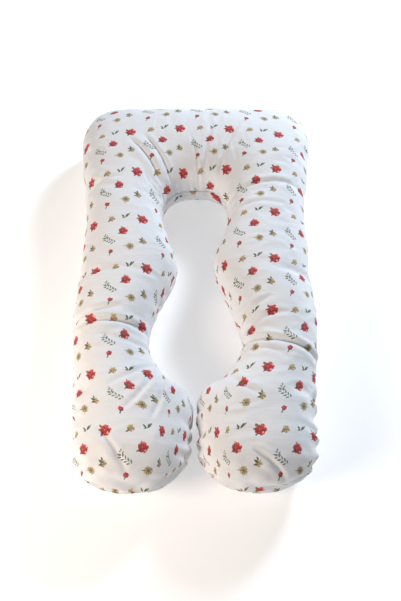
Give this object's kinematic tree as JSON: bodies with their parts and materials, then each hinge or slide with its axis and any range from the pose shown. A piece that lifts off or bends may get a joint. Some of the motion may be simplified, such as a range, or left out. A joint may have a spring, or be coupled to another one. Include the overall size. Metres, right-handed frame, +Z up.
{
  "type": "nursing pillow",
  "caption": "U-shaped full-body nursing pillow: floral cotton cover with a working zip across the back of the head, inner case and fibre filling.",
  "frame": {"origin": "on the floor, under the middle of the pillow's length and width", "axes": "+X across the two legs, +Y from the feet to the head, +Z up from the floor"},
  "size_m": [0.8, 1.4, 0.23],
  "materials": {
    "printed_cotton": "matte",
    "nonwoven_casing": "matte",
    "polyester_fibre": "matte",
    "zip_tape_cloth": "matte",
    "zip_nylon": "satin",
    "nickel_plate": "satin",
    "label_satin": "satin"
  },
  "bodies": {
    "pillow": {"cover_top_panel": "printed_cotton", "cover_bottom_panel": "printed_cotton", "inner_case_top": "nonwoven_casing", "inner_case_bottom": "nonwoven_casing", "fibre_fill": "polyester_fibre", "zip_tape_upper": "zip_tape_cloth", "zip_tape_lower": "zip_tape_cloth", "zip_coil_upper": "zip_nylon", "zip_coil_lower": "zip_nylon", "zip_top_stop_upper": "nickel_plate", "zip_top_stop_lower": "nickel_plate", "zip_bottom_stop": "nickel_plate", "care_label": "label_satin"},
    "slider": {"zip_slider": "nickel_plate"},
    "pull": {"zip_pull_tab": "nickel_plate"}
  },
  "joints": [
    {"name": "zip_slide", "type": "slide", "parent": "pillow", "child": "slider", "axis": [1, 0, 0], "range_m": [0, 0.386]},
    {"name": "pull_hinge", "type": "hinge", "parent": "slider", "child": "pull", "pos_m": [-0.1932, 0.6971, 0.105], "axis": [0, 0, 1], "range_deg": [0, 170]}
  ]
}
